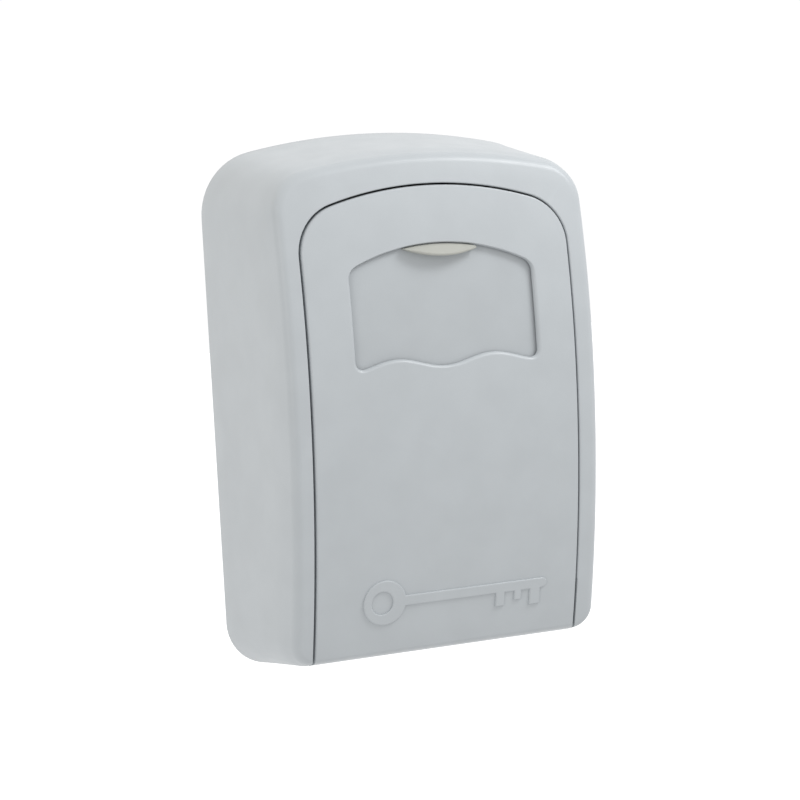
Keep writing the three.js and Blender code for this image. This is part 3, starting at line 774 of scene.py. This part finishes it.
def zinc_plate():
    made = Material("zinc_plate", (0.5, 0.5, 0.49), 0.34, 1.0)
    made.paint(0.08, 2.5, 0.5, (0.75, 0.75, 0.74)).polish(0.08, 2).grain([(0.5, 0.003)], (6, 1, 1))
    return made.material


def steel():
    made = Material("steel", (0.6, 0.6, 0.6), 0.28, 1.0)
    made.paint(0.05, 2, 0.5, (0.8, 0.8, 0.8)).polish(0.07, 1.5).grain([(0.3, 0.002)], (1, 1, 5))
    return made.material


def ink():
    made = Material("numeral_ink", (0.75, 0.75, 0.72), 0.55)
    made.paint(0.03, 1.5, 0.2).polish(0.05, 1).grain([(0.2, 0.003)])
    return made.material


FINISHES = {
    "powder_coat": powder_coat(),
    "tab_plastic": cream_plastic(),
    "black_plastic": black_plastic(),
    "grey_plastic": grey_plastic(),
    "zinc_plate": zinc_plate(),
    "steel": steel(),
}


def dress(obj, slot):
    obj.data.materials.clear()
    obj.data.materials.append(FINISHES[slot])
    return obj


def add(obj, slot, body, *stands_for):
    """A new piece in its finish, on its body, in place of CAD nodes."""
    dress(obj, slot)
    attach(obj, body)
    if stands_for:
        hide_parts(*stands_for)
    return obj


# ---- The pieces ----

add(housing_casting(), "powder_coat", "housing", "body_shell")
add(door_casting(), "powder_coat", "door", "door_shell")
add(key_emblem(), "powder_coat", "door")
plate = add(shutter_plate(), "powder_coat", "shutter", "shutter")
# The shutter's darker coat is partly its own tone and partly painted shade of its recess behind the window
# lip.
plate.data.materials[0] = powder_coat("shutter_coat_and_recess_shade", SHUTTER_COAT_AND_RECESS_SHADE)
add(thumb_tab(), "tab_plastic", "shutter", "shutter_tab")

for side_name, side in (("left", -1), ("right", 1)):
    spring = add(coil(f"spring_coil_{side_name}", side), "steel", "door", f"latch_spring_{side_name}")
    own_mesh(spring)

NUMERAL_INK = ink()
for wheel in range(DIALS):
    digits = numerals(wheel)
    digits.data.materials.append(NUMERAL_INK)
    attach(digits, f"dial_{wheel + 1}")

# The CAD's own pieces that stay in view, with the finish and the edge rounding, in millimetres, of each.
KEPT = {
    "hinge_pin": ("steel", 0.3),
    "dial_bezel": ("black_plastic", 0.25),
    "inner_cover": ("black_plastic", 0.25),
    "dial_frame": ("grey_plastic", 0.2),
    "dial_spindle": ("steel", 0.2),
    "detent_spring": ("steel", 0.08),
    "latch_slide": ("zinc_plate", 0.15),
    "release_lever": ("black_plastic", 0.2),
    "reset_lever": ("grey_plastic", 0.25),
}
for number in range(1, DIALS + 1):
    KEPT[f"dial_{number}"] = ("black_plastic", 0.2)
    KEPT[f"gate_hub_{number}"] = ("zinc_plate", 0.1)
    KEPT[f"cover_screw_{number}"] = ("steel", 0.12)
for node_name, (slot_name, rounding) in KEPT.items():
    kept = dress(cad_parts[node_name], slot_name)
    smooth(kept)
    soften(kept, rounding, 2)

# ---- Floor, light and camera ----

FLOOR_Z = -260
FLOOR_GLOW = 0.45
CAMERA = {"azimuth": -23.696, "elevation": 5.199, "roll": -3.067, "distance": 495.49}
TARGET = (3.496, 0, -1.584)
LENS = 97.82
BACKDROP = 1.02  # the white behind the object, as world strength
ROOM = 0.755  # and the dimmer room in front of it
SOFTBOXES = [
    ("key", (190, -190, 250), (120, 120), 0.52, (0.98, 0.99, 1)),
    ("side", (-560, -400, 140), (160, 500), 0.5, (1, 0.985, 0.96)),
    ("warm", (-300, 60, 260), (160, 160), 0.05, (1, 0.8, 0.5)),
]


def floor():
    size = 4000
    corners = [(-size, -size), (size, -size), (size, size), (-size, size)]
    points = [(x, y, FLOOR_Z) for x, y in corners]
    obj = mesh_object("floor", points, [(0, 1, 2, 3)])
    made = Material("floor", (0.92, 0.92, 0.92), 0.8)
    made.paint(0.01, 400, 0.0).polish(0.05, 300)
    made.shader.inputs["Emission Color"].default_value = (1, 1, 1, 1)
    made.shader.inputs["Emission Strength"].default_value = FLOOR_GLOW
    obj.data.materials.append(made.material)
    for rays in ("diffuse", "glossy", "shadow"):
        setattr(obj, f"visible_{rays}", False)


def softbox(name, place, aim, size, power, color=(1, 1, 1)):
    light = bpy.data.lights.new(name, "AREA")
    light.shape = "RECTANGLE"
    light.size, light.size_y = size[0] * MM, size[1] * MM
    light.energy = power
    light.color = color
    obj = bpy.data.objects.new(name, light)
    bpy.context.scene.collection.objects.link(obj)
    obj.location = Vector(place) * MM
    obj.rotation_mode = "QUATERNION"
    obj.rotation_quaternion = (Vector(aim) - Vector(place)).to_track_quat("-Z", "Y")


def studio():
    world = bpy.data.worlds.new("studio")
    bpy.context.scene.world = world
    world.use_nodes = True
    tree = world.node_tree
    background = tree.nodes["Background"]
    background.inputs["Color"].default_value = (1, 1, 1, 1)
    direction = tree.nodes.new("ShaderNodeTexCoord").outputs["Generated"]
    parts = tree.nodes.new("ShaderNodeSeparateXYZ")
    tree.links.new(direction, parts.inputs["Vector"])
    ramp = tree.nodes.new("ShaderNodeMapRange")
    ramp.interpolation_type = "SMOOTHSTEP"
    for name, value in zip(("From Min", "From Max", "To Min", "To Max"), (-0.1, 0.6, ROOM, BACKDROP)):
        ramp.inputs[name].default_value = value
    tree.links.new(parts.outputs["Y"], ramp.inputs["Value"])
    tree.links.new(ramp.outputs["Result"], background.inputs["Strength"])
    for name, place, size, power, color in SOFTBOXES:
        softbox(name, place, (0, -15, 0), size, power, color)


def camera():
    azimuth, elevation, roll = (math.radians(CAMERA[k]) for k in ("azimuth", "elevation", "roll"))
    back = Vector((
        math.sin(azimuth) * math.cos(elevation),
        -math.cos(azimuth) * math.cos(elevation),
        math.sin(elevation),
    ))
    level = (-back).cross(Vector((0, 0, 1))).normalized()
    upright = level.cross(-back)
    right = level * math.cos(roll) + upright * math.sin(roll)
    up = upright * math.cos(roll) - level * math.sin(roll)
    data = bpy.data.cameras.new("camera")
    data.sensor_width = 36
    data.lens = LENS
    data.clip_start, data.clip_end = 0.01, 20
    obj = bpy.data.objects.new("camera", data)
    bpy.context.scene.collection.objects.link(obj)
    turn = Matrix((right, up, back)).transposed().to_4x4()
    place = (Vector(TARGET) + back * CAMERA["distance"]) * MM
    obj.matrix_world = Matrix.Translation(place) @ turn
    bpy.context.scene.camera = obj


floor()
studio()
camera()
bpy.context.scene.view_settings.view_transform = "Standard"
